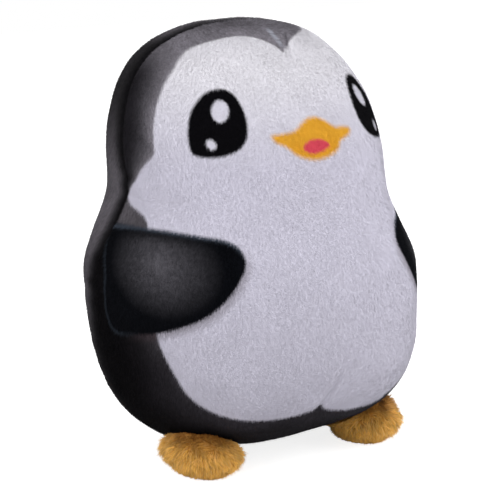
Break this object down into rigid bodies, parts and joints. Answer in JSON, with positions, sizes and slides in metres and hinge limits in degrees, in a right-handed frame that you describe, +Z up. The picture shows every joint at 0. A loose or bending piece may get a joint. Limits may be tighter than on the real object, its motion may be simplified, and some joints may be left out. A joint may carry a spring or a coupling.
{
  "type": "plush penguin",
  "caption": "Plump stuffed penguin: printed front and dark back plush panels sewn round a fibre filling, on two furry sewn-on feet that fold down.",
  "frame": {"origin": "on the surface it rests on, below the middle of its width and depth", "axes": "+Z up, the penguin faces -Y, its left side is +X"},
  "size_m": [0.1556, 0.148, 0.1996],
  "materials": {
    "printed_plush": "short napped plush with a printed face, belly and wings",
    "charcoal_plush": "short napped charcoal plush",
    "golden_fur": "long pile golden fur cloth",
    "fibre_fill": "loose polyester fibre",
    "dark_thread": "matt sewing thread",
    "golden_thread": "matt sewing thread"
  },
  "bodies": {
    "body": {"front_panel": "printed_plush", "back_panel": "charcoal_plush", "body_stuffing": "fibre_fill", "body_seam_thread": "dark_thread", "closing_thread": "dark_thread", "left_foot_tack_thread": "golden_thread", "right_foot_tack_thread": "golden_thread"},
    "left_foot": {"left_foot_upper": "golden_fur", "left_foot_sole": "golden_fur", "left_foot_stuffing": "fibre_fill", "left_foot_seam_thread": "golden_thread"},
    "right_foot": {"right_foot_upper": "golden_fur", "right_foot_sole": "golden_fur", "right_foot_stuffing": "fibre_fill", "right_foot_seam_thread": "golden_thread"}
  },
  "joints": [
    {"name": "left_foot_hinge", "type": "hinge", "parent": "body", "child": "left_foot", "pos_m": [0.044, 0.0008, 0.0068], "axis": [0.891, 0, 0.454], "range_deg": [0, 30]},
    {"name": "right_foot_hinge", "type": "hinge", "parent": "body", "child": "right_foot", "pos_m": [-0.044, 0.0008, 0.0068], "axis": [0.891, 0, -0.454], "range_deg": [0, 30]}
  ]
}
